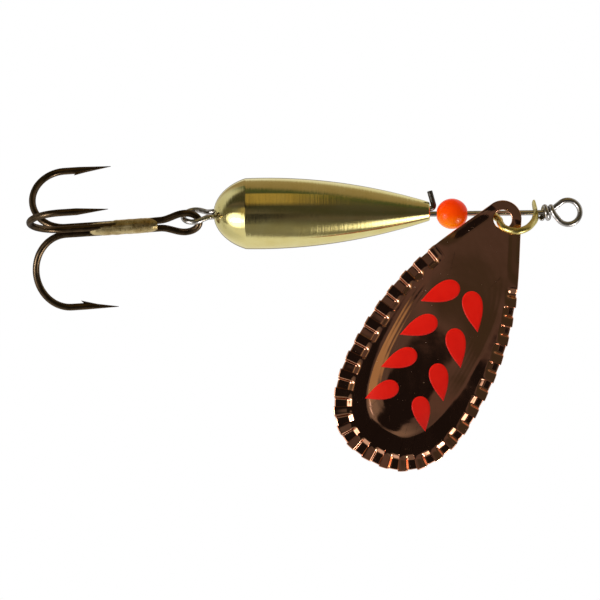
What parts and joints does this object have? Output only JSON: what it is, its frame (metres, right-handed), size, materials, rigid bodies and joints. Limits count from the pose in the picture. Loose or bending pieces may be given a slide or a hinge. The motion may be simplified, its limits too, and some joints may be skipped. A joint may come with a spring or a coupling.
{
  "type": "in-line spinner lure",
  "caption": "In-line spinner lure: a turned brass weight and a bead on a wire shaft, a crimped copper blade that spins on a clevis, and a treble hook on the rear loop.",
  "frame": {"origin": "centre of the line-tie eye at the front end of the shaft wire", "axes": "+X forward along the shaft, the way the line pulls; +Z towards the side that the blade hangs away from; +Y from the blade's domed side to its hollow side"},
  "size_m": [0.0721, 0.0182, 0.0404],
  "materials": {
    "steel_wire": "bright drawn stainless spring wire",
    "body_brass": "polished turned brass with fine lathe lines",
    "bead_orange": "translucent fluorescent orange, glossy",
    "clevis_brass": "bright folded brass wire",
    "blade_copper": "brass sheet, dark copper plated and mirror polished",
    "drop_paint": "opaque red lacquer drops on the blade",
    "hook_bronze": "bronzed high-carbon steel wire",
    "braze_brass": "brazed seam, mottled gold over bronze"
  },
  "bodies": {
    "shaft": {"shaft_wire": "steel_wire", "body_weight": "body_brass"},
    "bead": {"bead": "bead_orange"},
    "clevis": {"clevis": "clevis_brass"},
    "blade": {"blade": "blade_copper"},
    "hook": {"hook_double": "hook_bronze", "hook_single": "hook_bronze", "hook_braze": "braze_brass"}
  },
  "joints": [
    {"name": "bead_spin", "type": "hinge", "parent": "shaft", "child": "bead", "pos_m": [-0.01495, 0, 0], "axis": [1, 0, 0], "continuous": true},
    {"name": "clevis_spin", "type": "hinge", "parent": "shaft", "child": "clevis", "pos_m": [-0.00675, 0, 0], "axis": [1, 0, 0], "continuous": true},
    {"name": "blade_swing", "type": "hinge", "parent": "clevis", "child": "blade", "pos_m": [-0.00884, -0.0012, -0.00094], "axis": [0.4098, 0.7696, 0.4897], "range_deg": [-4, 85]},
    {"name": "hook_swing", "type": "hinge", "parent": "shaft", "child": "hook", "pos_m": [-0.0499, 0.00054, 0.00005], "axis": [0.01, -0.96, -0.28], "range_deg": [-20, 75]}
  ]
}
